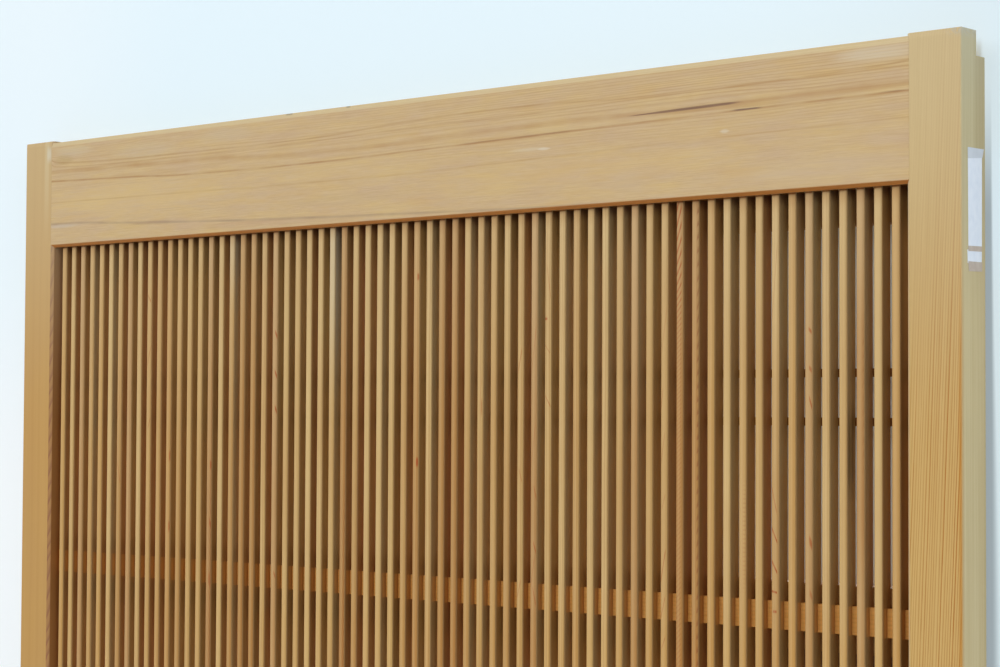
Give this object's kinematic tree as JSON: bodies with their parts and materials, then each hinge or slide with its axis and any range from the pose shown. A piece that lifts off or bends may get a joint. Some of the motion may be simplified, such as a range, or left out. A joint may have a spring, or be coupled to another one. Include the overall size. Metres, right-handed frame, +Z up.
{
  "type": "lattice sliding screen",
  "caption": "Timber sliding screen leaf: two stiles, a wide top rail and dense upright slats over hidden cross bars, with rebated edges that run in head and sill grooves.",
  "frame": {"origin": "middle of the foot, half-way through the leaf's thickness", "axes": "+X along the track to the right as seen from the front, +Y from the front face to the back, +Z up"},
  "size_m": [0.872, 0.027, 1.757],
  "materials": {
    "stile_wood": "planed bare cedar, straight orange grain",
    "rail_wood": "planed bare cedar, pinkish tan with brown streaks",
    "slat_wood": "planed bare cedar, each slat of its own tone",
    "bar_wood": "planed bare cedar, darker orange brown"
  },
  "bodies": {
    "root": {"left_stile": "stile_wood", "right_stile": "stile_wood", "top_rail": "rail_wood", "bottom_rail": "rail_wood", "mid_rail_1": "rail_wood", "wide_bar_1": "bar_wood", "mid_rail_2": "rail_wood", "wide_bar_2": "bar_wood", "mid_rail_3": "rail_wood", "wide_bar_3": "bar_wood", "mid_rail_4": "rail_wood", "wide_bar_4": "bar_wood", "mid_rail_5": "rail_wood", "wide_bar_5": "bar_wood", "thin_bar_01": "bar_wood", "thin_bar_02": "bar_wood", "thin_bar_03": "bar_wood", "thin_bar_04": "bar_wood", "thin_bar_05": "bar_wood", "thin_bar_06": "bar_wood", "thin_bar_07": "bar_wood", "thin_bar_08": "bar_wood", "thin_bar_09": "bar_wood", "thin_bar_10": "bar_wood", "thin_bar_11": "bar_wood", "thin_bar_12": "bar_wood", "slat_pair_01": "slat_wood", "slat_pair_02": "slat_wood", "slat_pair_03": "slat_wood", "slat_pair_04": "slat_wood", "slat_pair_05": "slat_wood", "slat_pair_06": "slat_wood", "slat_pair_07": "slat_wood", "slat_pair_08": "slat_wood", "slat_pair_09": "slat_wood", "slat_pair_10": "slat_wood", "slat_pair_11": "slat_wood", "slat_pair_12": "slat_wood", "slat_pair_13": "slat_wood", "slat_pair_14": "slat_wood", "slat_pair_15": "slat_wood", "slat_pair_16": "slat_wood", "slat_pair_17": "slat_wood", "slat_pair_18": "slat_wood", "slat_pair_19": "slat_wood", "slat_pair_20": "slat_wood", "slat_pair_21": "slat_wood", "slat_pair_22": "slat_wood", "slat_pair_23": "slat_wood", "slat_pair_24": "slat_wood", "slat_pair_25": "slat_wood", "slat_pair_26": "slat_wood", "slat_pair_27": "slat_wood", "slat_pair_28": "slat_wood", "slat_pair_29": "slat_wood", "slat_pair_30": "slat_wood", "slat_pair_31": "slat_wood", "slat_pair_32": "slat_wood", "slat_pair_33": "slat_wood"}
  },
  "joints": []
}
